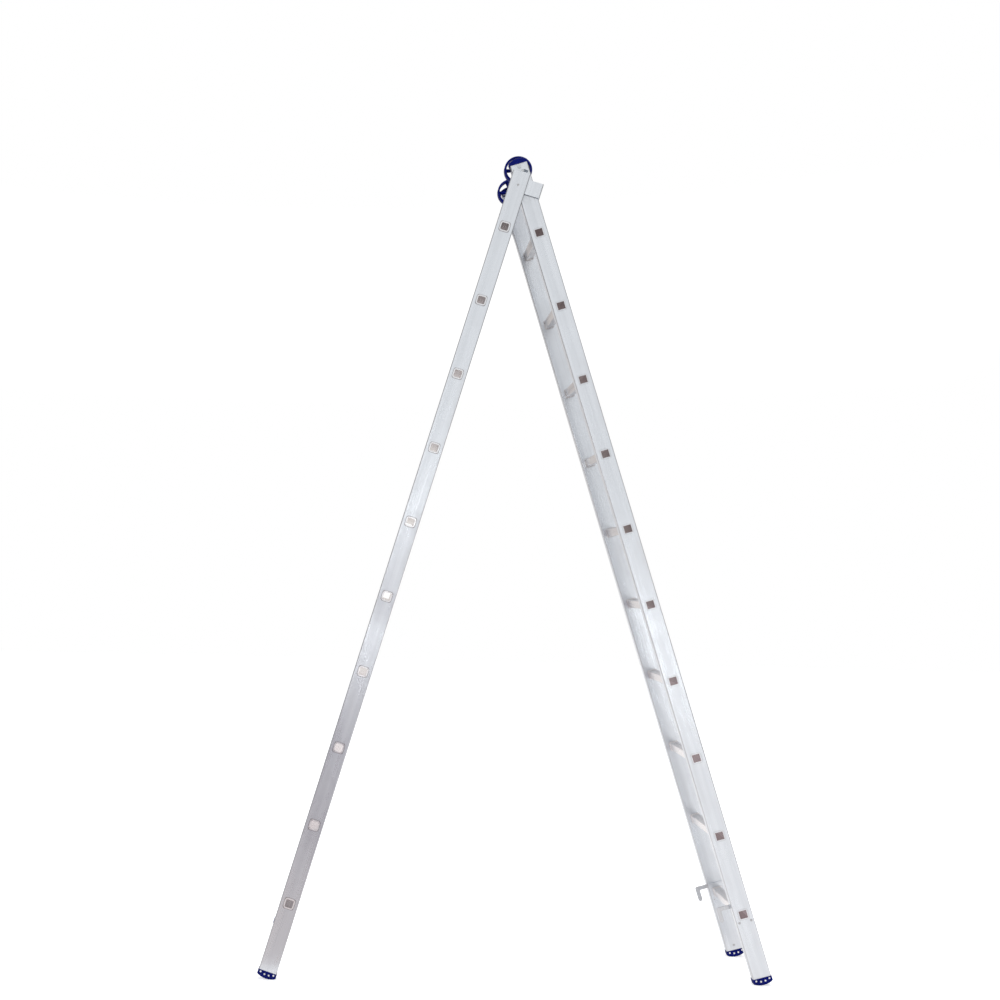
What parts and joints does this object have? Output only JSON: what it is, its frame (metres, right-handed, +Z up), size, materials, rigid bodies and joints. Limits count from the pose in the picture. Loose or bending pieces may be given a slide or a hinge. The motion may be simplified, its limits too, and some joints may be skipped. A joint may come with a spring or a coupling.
{
  "type": "extension ladder",
  "caption": "Two-section aluminium combination extension ladder standing as an A, with splayed outer section, guide brackets, head wheels, rung hooks and blue feet.",
  "frame": {"origin": "on the floor, at the middle of the footprint", "axes": "+Z up, X along the spread with the outer section at -X and the inner section at +X, Y across the rungs with the left side at -Y"},
  "size_m": [1.7872, 0.5518, 2.9515],
  "materials": {
    "mill_aluminium": "extruded mill finish with soft lengthwise bands",
    "rung_aluminium": "extruded mill finish, swaged bright ends",
    "rivet_aluminium": "plain rivet heads",
    "zinc_steel": "zinc plated",
    "navy_plastic": "moulded, satin, fine grain",
    "white_plastic": "moulded, satin"
  },
  "bodies": {
    "outer_section": {"outer_stile_left": "mill_aluminium", "outer_stile_right": "mill_aluminium", "outer_rung_1": "rung_aluminium", "outer_rung_2": "rung_aluminium", "outer_rung_3": "rung_aluminium", "outer_rung_4": "rung_aluminium", "outer_rung_5": "rung_aluminium", "outer_rung_6": "rung_aluminium", "outer_rung_7": "rung_aluminium", "outer_rung_8": "rung_aluminium", "outer_rung_9": "rung_aluminium", "outer_rung_10": "rung_aluminium", "outer_foot_left": "navy_plastic", "outer_foot_right": "navy_plastic", "guide_bracket_left": "mill_aluminium", "guide_bracket_right": "mill_aluminium", "bracket_rivets": "rivet_aluminium", "outer_foot_rivets": "rivet_aluminium", "outer_grip_pins": "white_plastic"},
    "inner_section": {"inner_stile_left": "mill_aluminium", "inner_stile_right": "mill_aluminium", "inner_rung_1": "rung_aluminium", "inner_rung_2": "rung_aluminium", "inner_rung_3": "rung_aluminium", "inner_rung_4": "rung_aluminium", "inner_rung_5": "rung_aluminium", "inner_rung_6": "rung_aluminium", "inner_rung_7": "rung_aluminium", "inner_rung_8": "rung_aluminium", "inner_rung_9": "rung_aluminium", "inner_rung_10": "rung_aluminium", "inner_foot_left": "navy_plastic", "inner_foot_right": "navy_plastic", "head_plug_left": "navy_plastic", "head_plug_right": "navy_plastic", "rung_hook_left": "mill_aluminium", "rung_hook_right": "mill_aluminium", "pivot_stud_left": "zinc_steel", "pivot_stud_right": "zinc_steel", "hook_rivets": "rivet_aluminium", "inner_foot_rivets": "rivet_aluminium", "inner_grip_pins": "white_plastic", "wheel_axle_left": "zinc_steel", "wheel_axle_right": "zinc_steel", "axle_washers": "zinc_steel", "axle_nuts": "zinc_steel"},
    "left_wheel": {"wheel_left": "navy_plastic"},
    "right_wheel": {"wheel_right": "navy_plastic"}
  },
  "joints": [
    {"name": "section_fold", "type": "hinge", "parent": "outer_section", "child": "inner_section", "pos_m": [0.00528, 0, 2.87411], "axis": [0, 1, 0], "range_deg": [0, 20]},
    {"name": "left_wheel_spin", "type": "hinge", "parent": "inner_section", "child": "left_wheel", "pos_m": [-0.0026, -0.10975, 2.90046], "axis": [0, 1, 0], "continuous": true},
    {"name": "right_wheel_spin", "type": "hinge", "parent": "inner_section", "child": "right_wheel", "pos_m": [-0.0026, 0.10975, 2.90046], "axis": [0, 1, 0], "continuous": true}
  ]
}
